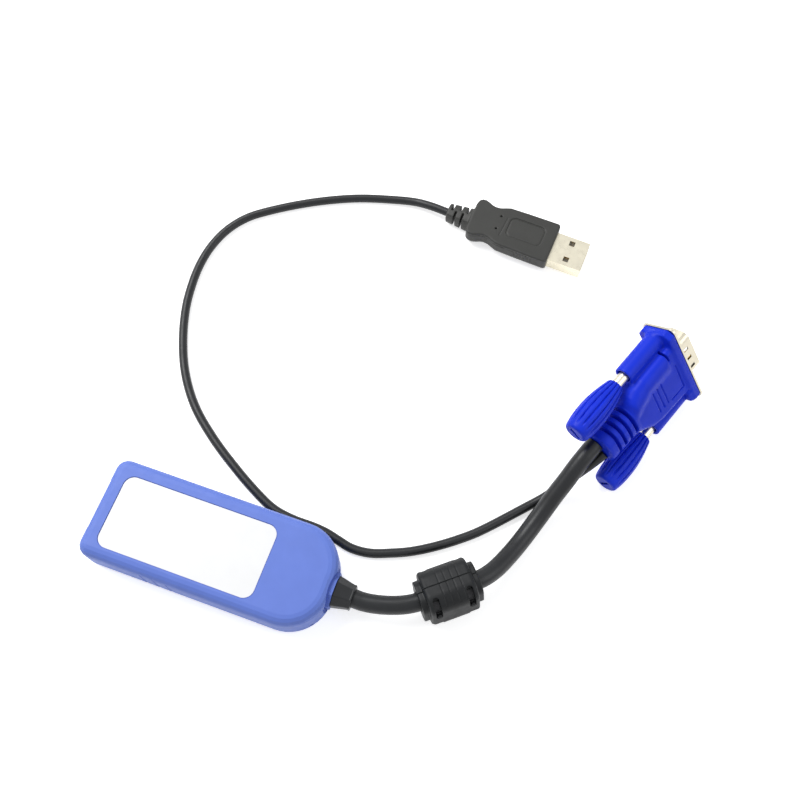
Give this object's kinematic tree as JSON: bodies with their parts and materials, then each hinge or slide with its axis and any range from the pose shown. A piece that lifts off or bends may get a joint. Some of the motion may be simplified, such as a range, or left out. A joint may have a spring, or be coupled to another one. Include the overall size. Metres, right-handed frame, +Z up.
{
  "type": "kvm server interface module",
  "caption": "Server-side KVM adapter: blue RJ45 housing, video cable with a clamp-on ferrite and a screw-on video plug, and a thin USB lead with its plug",
  "frame": {"origin": "under the middle of the housing, on the surface that it lies on", "axes": "+X along the housing towards its cable end, +Y across it, +Z up"},
  "size_m": [0.1797, 0.1658, 0.0312],
  "materials": {
    "housing_blue": "satin",
    "label_white": "satin film",
    "cable_black": "satin PVC",
    "clamp_black": "fine moulded texture",
    "ferrite_grey": "fired ceramic",
    "plug_blue": "satin",
    "nickel": "nickel plated",
    "gold_contact": "gold flash",
    "insulator": "moulded",
    "jack_black": "moulded",
    "board_green": "solder mask",
    "chip_black": "epoxy",
    "tongue_white": "moulded",
    "can_metal": "brushed",
    "header_ivory": "moulded",
    "usb_black": "fine moulded texture",
    "wire_mix": "PVC"
  },
  "bodies": {
    "module": {"housing_top": "housing_blue", "housing_bottom": "housing_blue", "label_plate": "label_white", "strain_relief": "cable_black", "circuit_board": "board_green", "rj45_jack": "jack_black", "rj45_contacts": "gold_contact", "video_chip": "chip_black", "usb_chip": "chip_black", "driver_chip": "chip_black", "crystal": "nickel", "capacitors": "can_metal", "wire_header": "header_ivory", "wire_plug": "header_ivory", "lead_wires": "wire_mix", "video_cable": "cable_black", "ferrite_case": "clamp_black", "ferrite_core_far": "ferrite_grey", "vga_hood": "plug_blue", "vga_face_shell": "nickel", "vga_insulator": "insulator", "vga_pins": "gold_contact", "usb_cable": "cable_black", "usb_overmold": "usb_black", "usb_shell": "nickel", "usb_tongue": "tongue_white", "usb_contacts": "gold_contact"},
    "lid": {"ferrite_lid": "clamp_black", "ferrite_core_near": "ferrite_grey"},
    "upper_slide": {"upper_retainer": "nickel"},
    "upper_screw": {"upper_jackscrew": "nickel", "upper_knob": "plug_blue"},
    "lower_slide": {"lower_retainer": "nickel"},
    "lower_screw": {"lower_jackscrew": "nickel", "lower_knob": "plug_blue"}
  },
  "joints": [
    {"name": "clamp_lid", "type": "hinge", "parent": "module", "child": "lid", "pos_m": [0.06952, 0.01293, 0.01496], "axis": [-0.7716, -0.6361, 0], "range_deg": [0, 100]},
    {"name": "upper_screw_slide", "type": "slide", "parent": "module", "child": "upper_slide", "axis": [0.3662, 0.9297, 0.0401], "range_m": [0, 0.003]},
    {"name": "upper_screw_turn", "type": "hinge", "parent": "upper_slide", "child": "upper_screw", "pos_m": [0.10127, 0.08946, 0.02494], "axis": [0.3662, 0.9297, 0.0401], "continuous": true},
    {"name": "lower_screw_slide", "type": "slide", "parent": "module", "child": "lower_slide", "axis": [0.3662, 0.9297, 0.0401], "range_m": [0, 0.003]},
    {"name": "lower_screw_turn", "type": "hinge", "parent": "lower_slide", "child": "lower_screw", "pos_m": [0.11588, 0.08455, 0.00526], "axis": [0.3662, 0.9297, 0.0401], "continuous": true}
  ]
}
